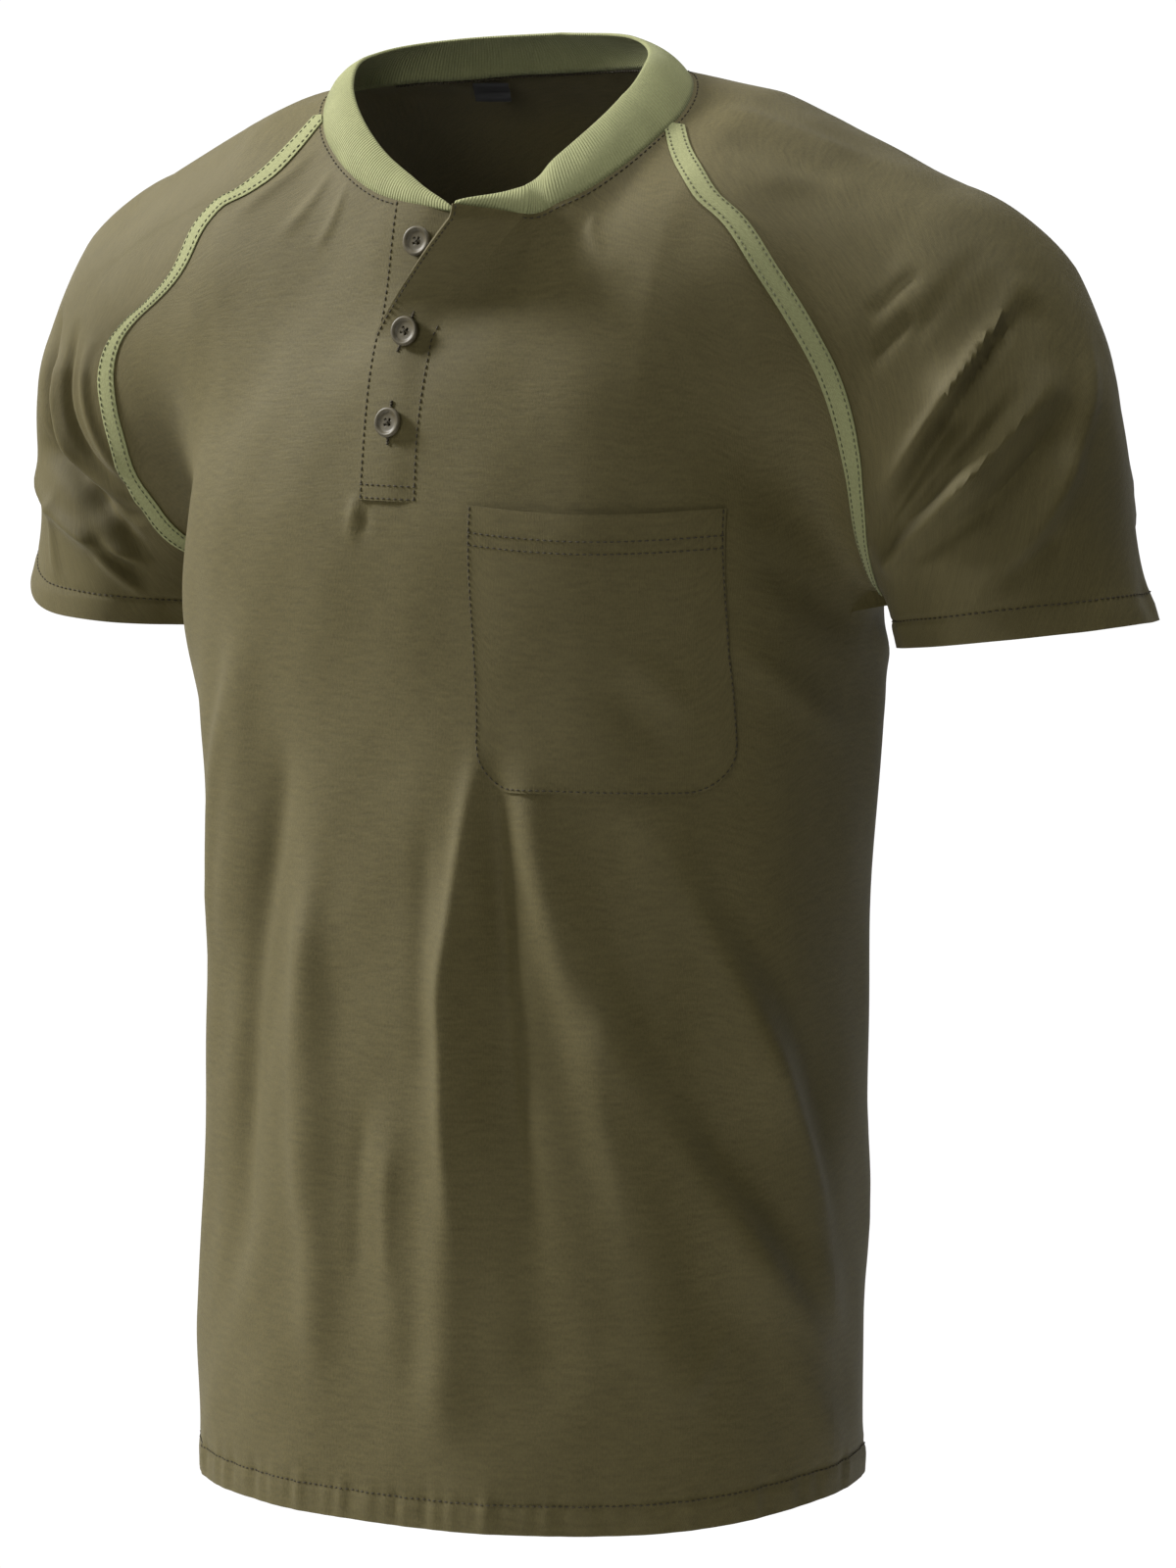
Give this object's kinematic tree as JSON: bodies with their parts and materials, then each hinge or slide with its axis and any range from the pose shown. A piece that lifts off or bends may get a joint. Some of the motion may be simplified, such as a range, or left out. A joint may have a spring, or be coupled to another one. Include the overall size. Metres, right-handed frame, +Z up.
{
  "type": "raglan henley shirt",
  "caption": "Short-sleeved raglan henley T-shirt in cotton jersey, filled out as worn, with rib neck band, button placket left open at the top, and chest pocket.",
  "frame": {"origin": "middle of the neck opening, level with the shoulder end of the neck seam, where a wearer or form would hold the shirt", "axes": "+Z up the body, from hem to neck; -Y out of the front; +X to the wearer's left sleeve"},
  "size_m": [0.6498, 0.2779, 0.7229],
  "materials": {
    "jersey": "matt olive-brown cotton jersey, washed soft",
    "rib": "matt sage-green ribbed cotton",
    "tape": "matt sage-green folded tape",
    "button": "satin olive-brown",
    "label": "matt black, bare"
  },
  "bodies": {
    "root": {"front": "jersey", "back": "jersey", "sleeve_left": "jersey", "sleeve_right": "jersey", "collar": "rib", "placket_outer": "jersey", "placket_under": "jersey", "pocket": "jersey", "tape_left": "tape", "tape_right": "tape", "button_1": "button", "button_2": "button", "button_3": "button", "neck_label": "label"}
  },
  "joints": []
}
